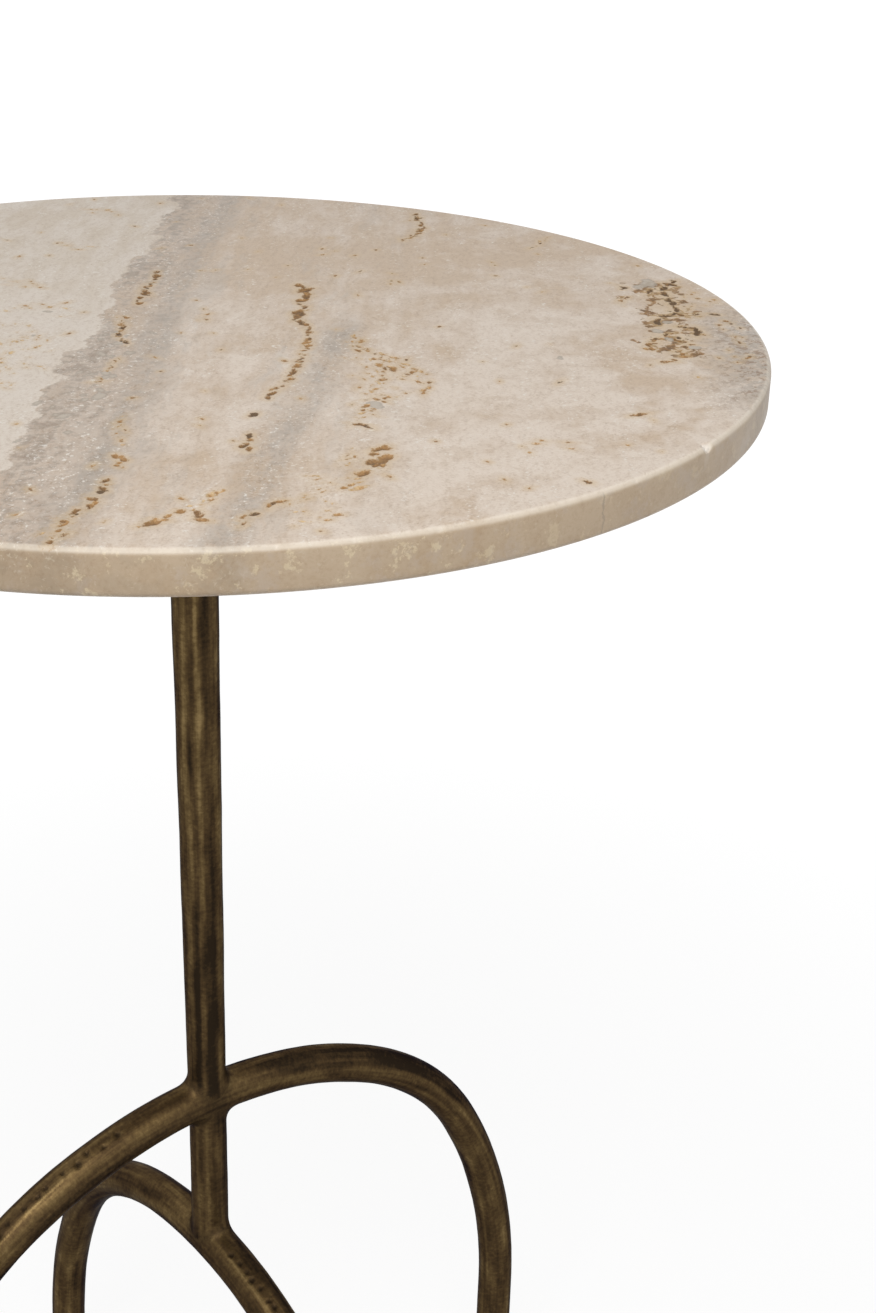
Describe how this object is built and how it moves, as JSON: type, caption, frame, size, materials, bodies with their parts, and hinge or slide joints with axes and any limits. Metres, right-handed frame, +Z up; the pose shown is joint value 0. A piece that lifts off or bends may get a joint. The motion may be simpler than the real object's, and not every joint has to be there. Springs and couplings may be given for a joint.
{
  "type": "side table",
  "caption": "Side table with a round travertine top on a slim tapered brass stem, carried by two crossing bar arches of unequal height that stand on screw-in levelling glides.",
  "frame": {"origin": "on the floor under the stem's axis, at the bottom centre of the table", "axes": "+Z up along the stem, +X along the upper arch, +Y along the lower arch"},
  "size_m": [0.3999, 0.4, 0.6],
  "materials": {
    "travertine": "honed, unfilled pits",
    "antique_brass": "dark antique brass, hand rubbed",
    "insert_brass": "machined",
    "zinc_steel": "zinc plated",
    "cushion_foam": "closed-cell foam",
    "glide_nylon": "moulded nylon"
  },
  "bodies": {
    "table": {"travertine_top": "travertine", "top_inserts": "insert_brass", "top_screws": "zinc_steel", "top_washers": "zinc_steel", "plate_cushion": "cushion_foam", "mounting_plate": "antique_brass", "plate_weld": "antique_brass", "stem": "antique_brass", "stem_link": "antique_brass", "upper_arch": "antique_brass", "lower_arch": "antique_brass"},
    "glide_right": {"glide_stud_right": "zinc_steel", "glide_pad_right": "glide_nylon"},
    "glide_left": {"glide_stud_left": "zinc_steel", "glide_pad_left": "glide_nylon"},
    "glide_rear": {"glide_stud_rear": "zinc_steel", "glide_pad_rear": "glide_nylon"},
    "glide_front": {"glide_stud_front": "zinc_steel", "glide_pad_front": "glide_nylon"}
  },
  "joints": [
    {"name": "glide_right_screw", "type": "slide", "parent": "table", "child": "glide_right", "axis": [0, 0, 1], "range_m": [0, 0.005]},
    {"name": "glide_left_screw", "type": "slide", "parent": "table", "child": "glide_left", "axis": [0, 0, 1], "range_m": [0, 0.005]},
    {"name": "glide_rear_screw", "type": "slide", "parent": "table", "child": "glide_rear", "axis": [0, 0, 1], "range_m": [0, 0.005]},
    {"name": "glide_front_screw", "type": "slide", "parent": "table", "child": "glide_front", "axis": [0, 0, 1], "range_m": [0, 0.005]}
  ]
}
